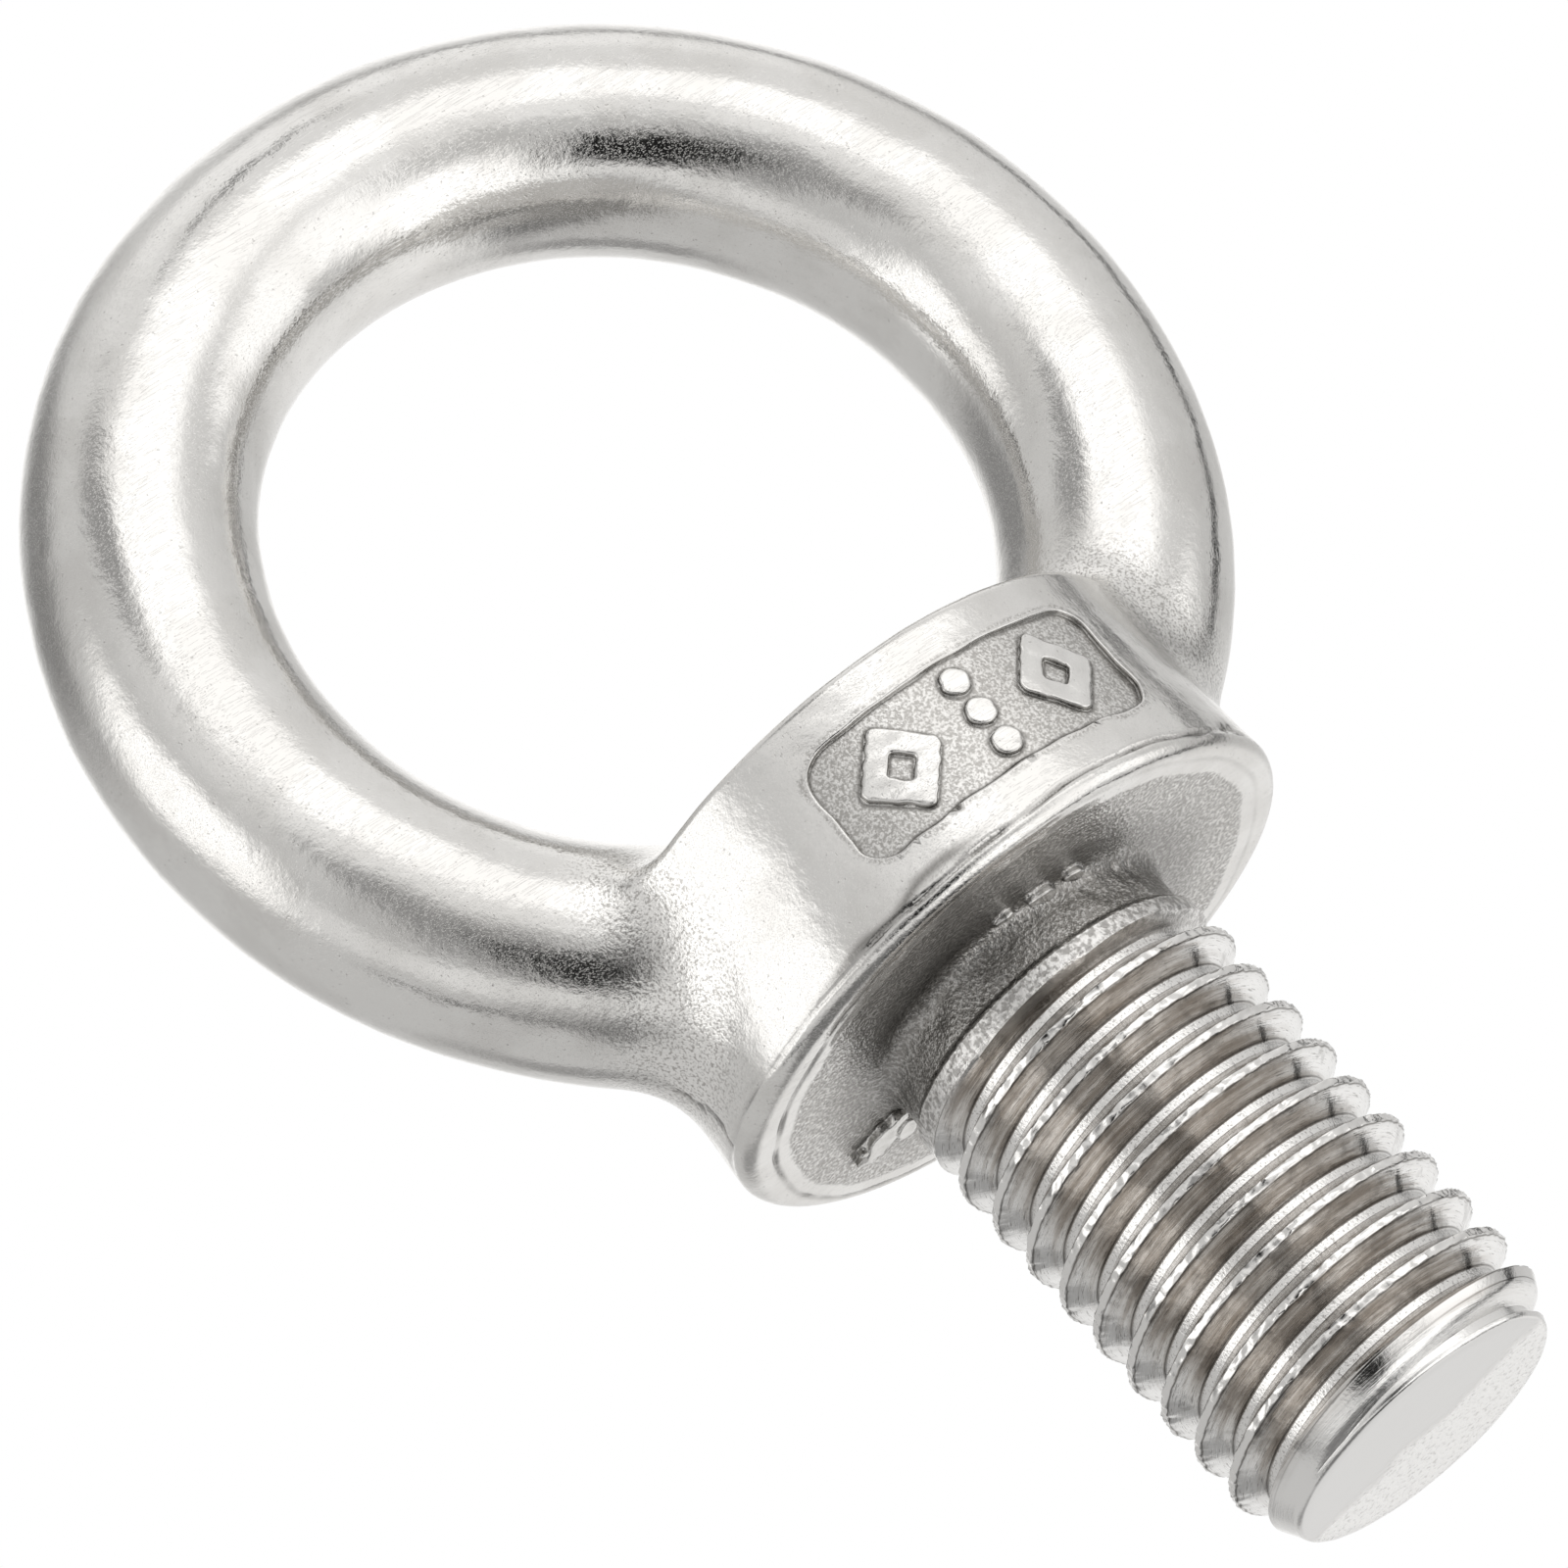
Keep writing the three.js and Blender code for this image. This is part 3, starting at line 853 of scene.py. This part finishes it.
def thread_material(name):
    """Stainless steel as cut by a die: turning lines along the flanks, torn bright crests and speckled
    roots, painted shade along their edges, brownish dull patches on the flanks, and the flanks
    painted pale on two opposite sides as a painted reflection."""
    material, graph, shader = new_material(name)
    where = graph.node("ShaderNodeTexCoord").outputs["Object"]
    parts = graph.node("ShaderNodeSeparateXYZ", {"Vector": where})
    x, y, z = (parts.outputs[axis] for axis in "XYZ")
    square = graph.math("MULTIPLY_ADD", y, y, graph.math("MULTIPLY", x, x))
    radius = graph.math("SQRT", square)
    angle = graph.math("ARCTAN2", x, graph.math("MULTIPLY", y, -1.0))
    # Round the axis the lines are drawn out, so a feature is many times longer than it is wide.
    around = graph.math("MULTIPLY", angle, THREAD_RADIUS * MM / LINE_LENGTH_TO_WIDTH)
    drawn = graph.node("ShaderNodeCombineXYZ", {"X": around, "Y": radius, "Z": z}).outputs[0]
    lines = graph.noise(drawn, 0.07, 2.0, 0.6)
    bands = graph.noise(drawn, 0.3, 2.0, 0.5)
    fine = graph.noise(where, 0.15, 2.0, 0.6)
    pebbles = graph.noise(where, 0.3, 3.0, 0.6)
    patches = graph.noise(where, 1.6, 3.0, 0.6)
    cast = graph.attribute("cast")
    disc = graph.attribute("disc")
    root = graph.attribute("root")
    bare = graph.math("MAXIMUM", root, graph.attribute("crest"))
    flank = graph.math("MULTIPLY", graph.attribute("cut"), graph.math("SUBTRACT", 1.0, bare))
    unturned = graph.math("MAXIMUM", graph.math("MAXIMUM", bare, cast), disc)
    turned = graph.math("SUBTRACT", 1.0, unturned)
    chamfer = graph.math("SUBTRACT", turned, flank)
    # One side of the end face is rougher than the other, with an uneven edge between them.
    side = graph.math("MULTIPLY_ADD", y, 0.82, graph.math("MULTIPLY", x, 0.57))
    side = graph.math("MULTIPLY_ADD", graph.noise(where, 3.0, 3.0, 0.6), 0.004, side)
    rough_patch = graph.math("MULTIPLY", graph.ramp(side, 0.0014, 0.0030), disc)
    smooth_patch = graph.math("SUBTRACT", disc, rough_patch)
    # The flanks are painted pale on two opposite sides as a painted reflection, and carry the brown stain
    # between them.
    painted_sheen_axis = [part / (THREAD_RADIUS * MM) for part in PAINTED_SHEEN_DIRECTION]
    towards = graph.math("MULTIPLY_ADD", x, painted_sheen_axis[0], graph.math("MULTIPLY", y, painted_sheen_axis[1]))
    towards = graph.math("ABSOLUTE", towards)
    towards = graph.math("ADD", towards, graph.math("MULTIPLY_ADD", bands, 0.3, -0.15))
    painted_sheen = graph.ramp(towards, 0.62, 0.92)

    height = summed(
        graph,
        (graph.math("MULTIPLY", lines, flank), 0.000010),
        (graph.math("MULTIPLY", lines, chamfer), 0.000014),
        (graph.math("MULTIPLY", fine, chamfer), 0.000006),
        (graph.math("MULTIPLY", fine, root), 0.000018),
        (graph.math("MULTIPLY", fine, bare), 0.000005),
        (graph.math("MULTIPLY", pebbles, rough_patch), 0.00005),
        (graph.math("MULTIPLY", pebbles, cast), 0.00005),
        (fine, 0.000004),
        (patches, 0.00002),
    )
    bump_node = graph.node("ShaderNodeBump", {"Height": height, "Distance": 1.0, "Strength": 1.0})
    graph.put(shader.inputs["Normal"], bump_node.outputs["Normal"])

    roughness = graph.mix(flank, 0.12, graph.math("MULTIPLY_ADD", bands, 0.05, 0.03))
    roughness = graph.mix(chamfer, roughness, 0.17)
    roughness = graph.mix(bare, roughness, 0.11)
    roughness = graph.mix(graph.math("MAXIMUM", cast, rough_patch), roughness, 0.28)
    graph.put(shader.inputs["Roughness"], roughness)

    brown = (0.45, 0.415, 0.38)
    grey = (0.72, 0.70, 0.675)
    dark = (0.12, 0.11, 0.10)
    steel = (0.80, 0.79, 0.775)
    dull = (0.67, 0.666, 0.66)
    pale = (0.93, 0.925, 0.915)
    stain = graph.blend(graph.ramp(bands, 0.35, 0.65), brown, grey)
    colour = stained(
        graph,
        # Painted reflection: pale flanks on two opposite sides.
        graph.blend(flank, steel, graph.blend(painted_sheen, stain, pale)),
        (graph.math("MULTIPLY", flank, graph.ramp(patches, 0.54, 0.68)), 0.3, dark),
        (graph.math("MULTIPLY", flank, graph.ramp(lines, 0.56, 0.70)), 0.6, dark),
        (graph.math("MULTIPLY", root, graph.ramp(fine, 0.45, 0.32)), 0.45, dark),
        # Painted shade along the edges of the crests and roots.
        (graph.attribute("edge"), 0.95, dark),
        (graph.math("MULTIPLY", cast, graph.ramp(pebbles, 0.58, 0.40)), 0.6, dark),
        (smooth_patch, 0.9, dull),
        (rough_patch, 0.9, pale),
        (chamfer, 0.5, pale),
        (graph.math("MULTIPLY", rough_patch, graph.ramp(pebbles, 0.48, 0.32)), 0.35, dark),
        (graph.math("MULTIPLY", rough_patch, smooth_patch), 0.6, dark),
    )
    graph.put(shader.inputs["Base Color"], colour)
    return material


# ---------------------------------------------------------------- camera, light and floor

CAMERA_TARGET = (-4.75, -4.97, 13.02)
CAMERA_AZIMUTH = -25.68
CAMERA_ELEVATION = -20.42
CAMERA_ROLL = -41.85
CAMERA_DISTANCE = 575
CAMERA_LENS = 277.5


def camera_axes():
    """The camera's right, up and back directions."""
    a, e, r = (math.radians(d) for d in (CAMERA_AZIMUTH, CAMERA_ELEVATION, CAMERA_ROLL))
    back = Vector((math.sin(a) * math.cos(e), -math.cos(a) * math.cos(e), math.sin(e)))
    level_right = Vector((0, 0, 1)).cross(back).normalized()
    level_up = back.cross(level_right)
    right = level_right * math.cos(r) + level_up * math.sin(r)
    return right, back.cross(right), back


def make_camera():
    right, up, back = camera_axes()
    data = bpy.data.cameras.new("camera")
    data.lens = CAMERA_LENS
    data.sensor_width = 36
    data.clip_start, data.clip_end = 0.01, 10
    camera = bpy.data.objects.new("camera", data)
    turn = Matrix((right, up, back)).transposed().to_4x4()
    place = (Vector(CAMERA_TARGET) + back * CAMERA_DISTANCE) * MM
    camera.matrix_world = Matrix.Translation(place) @ turn
    bpy.context.scene.collection.objects.link(camera)
    bpy.context.scene.camera = camera


# The studio, as soft panels about the photographer's camera: degrees to its right, degrees above
# it, half width, half height and tilt in degrees, softness of the edge, and brightness. A later
# panel covers an earlier one, and the dim ones are dark screens.
ROOM_BRIGHTNESS = 0.60
STUDIO_PANELS = (
    ("ceiling", 20, 84, 42, 42, 0, 0.6, 0.86),
    ("ceiling_edge", -105, 76, 10, 2.5, 0, 0.5, 0.28),
    ("ceiling_back", -158, 64, 24, 12, 0, 0.5, 1.02),
    ("left_screen", -124, 8, 20, 19, 0, 0.5, 0.26),
    ("backdrop", -175, 8, 17, 24, 0, 0.5, 1.15),
    ("low_fill", 0, -36, 46, 10, 0, 0.5, 0.84),
    ("low_right_screen", 58, -63, 32, 18, 0, 0.35, 0.20),
    ("low_left_edge", -26, -60, 19, 2.5, -20, 0.5, 0.14),
    ("low_back_screen", 178, -54, 16, 9, 0, 0.5, 0.33),
    ("low_back_glow", 142, -22, 34, 20, 0, 0.5, 0.92),
    ("low_right_glow", 108, -40, 20, 14, 0, 0.6, 1.00),
    ("right_edge", 113, 5, 64, 4, 46, 0.5, 0.06),
    ("low_screen_fold", 74, -47, 13, 8, 0, 0.45, 0.04),
    ("top_spill", 14, 40, 42, 13, 0, 0.5, 0.95),
    ("top_softbox", 10, 60, 29, 16, 0, 0.3, 1.38),
    ("upper_left_shade", -57, 48, 15, 8, 0, 0.5, 0.34),
    ("right_softbox_high", 70, 18, 25, 16, 0, 0.35, 1.30),
    ("right_softbox_low", 52, -14, 21, 18, 0, 0.35, 1.40),
    ("left_softbox", -68, -8, 20, 20, -30, 0.35, 1.40),
    ("camera_shade", -8, 2, 13, 20, 10, 0.5, 0.32),
    ("camera_gap", 8, -8, 13, 16, 12, 0.4, 0.01),
)


def make_studio():
    """White behind the object, and the soft panels for everything that the metal mirrors."""
    world = bpy.data.worlds.new("studio")
    bpy.context.scene.world = world
    world.use_nodes = True
    graph = Graph(world.node_tree)
    looking = graph.node("ShaderNodeTexCoord").outputs["Generated"]
    right, up, back = camera_axes()
    light = ROOM_BRIGHTNESS
    for _, azimuth, elevation, half_width, half_height, tilt, softness, brightness in STUDIO_PANELS:
        a, e, t = (math.radians(d) for d in (azimuth, elevation, tilt))
        facing = right * math.sin(a) * math.cos(e) + up * math.sin(e) + back * math.cos(a) * math.cos(e)
        level = up.cross(facing).normalized()
        plumb = facing.cross(level)
        wide = (level * math.cos(t) + plumb * math.sin(t)) / math.sin(math.radians(half_width))
        high = (plumb * math.cos(t) - level * math.sin(t)) / math.sin(math.radians(half_height))
        across = graph.math("POWER", graph.vector("DOT_PRODUCT", looking, wide), 4.0)
        along = graph.math("POWER", graph.vector("DOT_PRODUCT", looking, high), 4.0)
        size = graph.math("POWER", graph.math("ADD", across, along), 0.25)
        cover = graph.ramp(size, 1 - softness, 1 + softness, 1.0, 0.0)
        ahead = graph.math("GREATER_THAN", graph.vector("DOT_PRODUCT", looking, facing), 0.0)
        light = graph.mix(graph.math("MULTIPLY", cover, ahead), light, brightness)
    mirrored = graph.node("ShaderNodeBackground", {"Color": (1.0, 0.993, 0.982, 1), "Strength": light})
    plain = graph.node("ShaderNodeBackground", {"Color": (1, 1, 1, 1), "Strength": 1.0})
    path = graph.node("ShaderNodeLightPath")
    chosen = graph.node("ShaderNodeMixShader")
    graph.put(chosen.inputs[0], path.outputs["Is Camera Ray"])
    graph.put(chosen.inputs[1], mirrored.outputs[0])
    graph.put(chosen.inputs[2], plain.outputs[0])
    output = graph.node("ShaderNodeOutputWorld")
    graph.put(output.inputs["Surface"], chosen.outputs[0])
    bpy.context.scene.view_settings.view_transform = "Standard"


FLOOR_SIZE = 3.0
FLOOR_GAP = 0.2
# How far from the middle, in metres, the floor starts to pass into white, and where it is white.
FLOOR_FADE = (0.25, 1.35)


def make_floor():
    """A plain pale floor under the shank's end. The photograph's camera stands below it, so its
    underside is clear, and it throws no light or reflection on the metal."""
    half = FLOOR_SIZE / 2 / MM
    corners = [(-half, -half, 0), (half, -half, 0), (half, half, 0), (-half, half, 0)]
    floor = mesh_object("floor", corners, [(0, 1, 2, 3)])
    floor.location.z = (SHANK_END_Z - FLOOR_GAP) * MM
    material = bpy.data.materials.new("floor_white")
    material.use_nodes = True
    graph = Graph(material.node_tree)
    pale = graph.node("ShaderNodeBsdfDiffuse", {"Color": (0.92, 0.92, 0.915, 1)})
    glow = graph.node("ShaderNodeEmission", {"Color": (1, 1, 1, 1), "Strength": 0.25})
    near = graph.node("ShaderNodeAddShader")
    graph.put(near.inputs[0], pale.outputs[0])
    graph.put(near.inputs[1], glow.outputs[0])
    # Far from the object the floor passes into the white behind it.
    where = graph.node("ShaderNodeTexCoord").outputs["Object"]
    reach = graph.vector("LENGTH", where, (0, 0, 0))
    far = graph.node("ShaderNodeEmission", {"Color": (1, 1, 1, 1), "Strength": 1.0})
    lit = graph.node("ShaderNodeMixShader")
    graph.put(lit.inputs[0], graph.ramp(reach, *FLOOR_FADE))
    graph.put(lit.inputs[1], near.outputs[0])
    graph.put(lit.inputs[2], far.outputs[0])
    clear = graph.node("ShaderNodeBsdfTransparent")
    side = graph.node("ShaderNodeNewGeometry").outputs["Backfacing"]
    both = graph.node("ShaderNodeMixShader")
    graph.put(both.inputs[0], side)
    graph.put(both.inputs[1], lit.outputs[0])
    graph.put(both.inputs[2], clear.outputs[0])
    output = graph.node("ShaderNodeOutputMaterial")
    graph.put(output.inputs["Surface"], both.outputs[0])
    floor.data.materials.append(material)
    floor.visible_glossy = False
    floor.visible_diffuse = False
    floor.visible_shadow = False


# ---------------------------------------------------------------- putting it together

make_camera()
make_studio()
make_floor()

for build, node, slot_name, material in (
    (make_eye_ring, "eye_ring", "polished_casting", casting_material("polished_casting")),
    (make_collar, "collar", "collar_casting", casting_material("collar_casting")),
    (make_shank, "threaded_shank", "cut_thread", thread_material("cut_thread")),
):
    piece = build()
    piece.data.materials.append(material)
    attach(piece, "root")
    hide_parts(node)
    print(piece.name, "triangles", sum(len(f.vertices) - 2 for f in piece.data.polygons))
